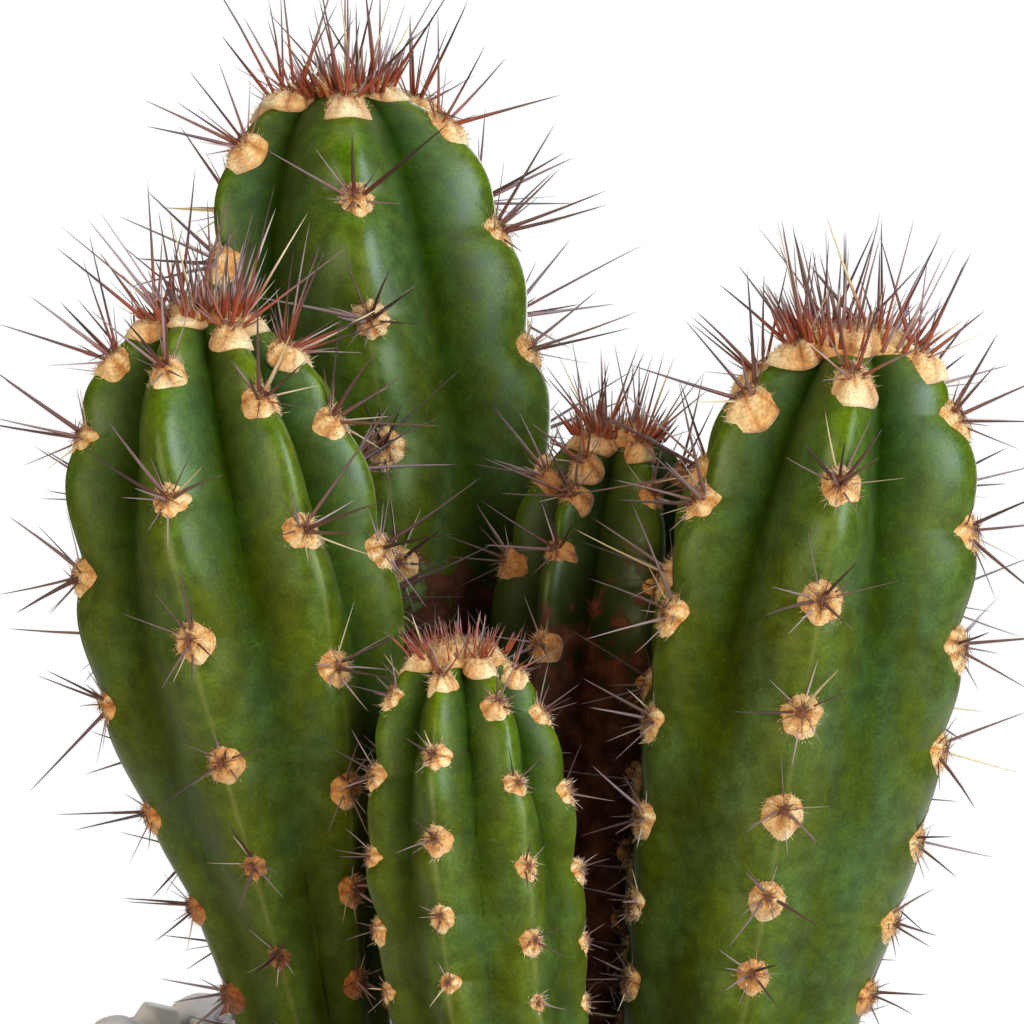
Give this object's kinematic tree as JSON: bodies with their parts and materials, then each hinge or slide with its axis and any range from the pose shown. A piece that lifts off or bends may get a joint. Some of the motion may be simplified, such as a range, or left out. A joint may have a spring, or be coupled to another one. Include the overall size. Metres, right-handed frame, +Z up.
{
  "type": "potted columnar cactus",
  "caption": "Clump of ribbed columnar cactus stems with wool pads and long spines, rooted in soil under pale gravel in a plain terracotta pot that rests on its flat foot.",
  "frame": {"origin": "centre of the pot's foot, on the surface it stands on", "axes": "+Z up, -Y the front that the picture shows, +X to the right of the front view"},
  "size_m": [0.1855, 0.1706, 0.3044],
  "materials": {
    "terracotta": "unglazed, matte",
    "potting_soil": "crumbly, dark",
    "gravel": "pale crushed chips",
    "cactus_skin": "waxy, satin",
    "areole_wool": "felted wool with grey-brown spines"
  },
  "bodies": {
    "root": {"areole_back_1": "areole_wool", "areole_back_2": "areole_wool", "areole_back_3": "areole_wool", "areole_back_4": "areole_wool", "areole_back_5": "areole_wool", "areole_back_6": "areole_wool", "areole_front_1": "areole_wool", "areole_front_2": "areole_wool", "areole_front_3": "areole_wool", "areole_front_4": "areole_wool", "areole_front_5": "areole_wool", "areole_front_6": "areole_wool", "areole_front_7": "areole_wool", "areole_left_1": "areole_wool", "areole_left_2": "areole_wool", "areole_left_3": "areole_wool", "areole_left_4": "areole_wool", "areole_left_5": "areole_wool", "areole_left_6": "areole_wool", "areole_left_7": "areole_wool", "areole_middle_1": "areole_wool", "areole_middle_2": "areole_wool", "areole_middle_3": "areole_wool", "areole_middle_4": "areole_wool", "areole_middle_5": "areole_wool", "areole_middle_6": "areole_wool", "areole_right_1": "areole_wool", "areole_right_2": "areole_wool", "areole_right_3": "areole_wool", "areole_right_4": "areole_wool", "areole_right_5": "areole_wool", "areole_right_6": "areole_wool", "crown_tuft_back": "areole_wool", "crown_tuft_front": "areole_wool", "crown_tuft_left": "areole_wool", "crown_tuft_middle": "areole_wool", "crown_tuft_right": "areole_wool", "gravel_layer": "gravel", "pot": "terracotta", "soil": "potting_soil", "stem_back": "cactus_skin", "stem_front": "cactus_skin", "stem_left": "cactus_skin", "stem_middle": "cactus_skin", "stem_right": "cactus_skin", "stone_1": "gravel", "stone_10": "gravel", "stone_11": "gravel", "stone_12": "gravel", "stone_13": "gravel", "stone_14": "gravel", "stone_2": "gravel", "stone_3": "gravel", "stone_4": "gravel", "stone_5": "gravel", "stone_6": "gravel", "stone_7": "gravel", "stone_8": "gravel", "stone_9": "gravel"}
  },
  "joints": []
}
